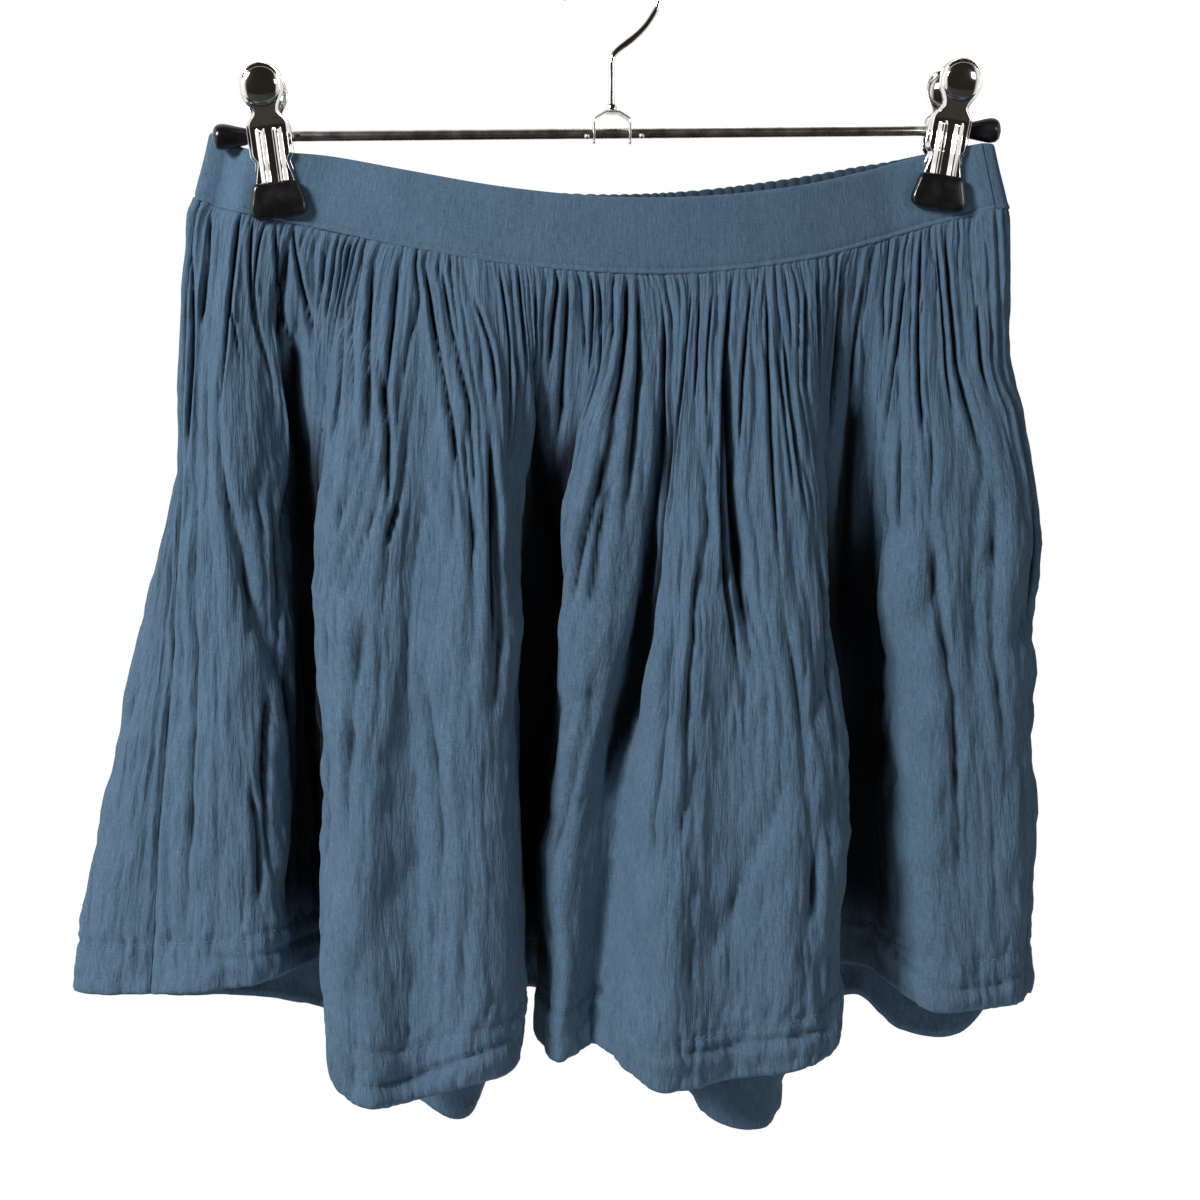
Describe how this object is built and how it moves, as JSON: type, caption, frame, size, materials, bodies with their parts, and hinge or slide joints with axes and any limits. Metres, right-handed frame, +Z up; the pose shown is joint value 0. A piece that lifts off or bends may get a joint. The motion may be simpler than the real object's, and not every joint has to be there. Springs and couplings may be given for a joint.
{
  "type": "gathered skirt on a clip hanger",
  "caption": "Short gathered skirt of crinkled double gauze with a flat front waistband, hanging by spring clips from a metal hanger.",
  "frame": {"origin": "inside top of the hook, where a rail carries it", "axes": "+Z up, +X to the right as seen from the skirt's front, +Y towards its back"},
  "size_m": [0.379, 0.0915, 0.4645],
  "materials": {
    "gauze": "crinkled double gauze, plain weave, matt, petrol blue",
    "band": "folded double gauze, plain weave, matt, petrol blue",
    "chrome": "bright plated steel",
    "rubber": "black dipped rubber, slightly glossy"
  },
  "bodies": {
    "root": {"front_panel": "gauze", "back_panel": "gauze", "front_hem": "gauze", "back_hem": "gauze", "front_waistband": "band", "back_waistband": "band", "hook": "chrome", "hook_collar": "chrome", "stirrup": "chrome", "rod": "chrome", "rod_stud_left": "chrome", "rod_stud_right": "chrome", "left_clip_front_leg": "chrome", "left_clip_back_leg": "chrome", "left_clip_pivot": "chrome", "right_clip_front_leg": "chrome", "right_clip_back_leg": "chrome", "right_clip_pivot": "chrome", "rod_cap_left": "rubber", "rod_cap_right": "rubber", "left_clip_front_pad": "rubber", "left_clip_back_pad": "rubber", "right_clip_front_pad": "rubber", "right_clip_back_pad": "rubber"}
  },
  "joints": []
}
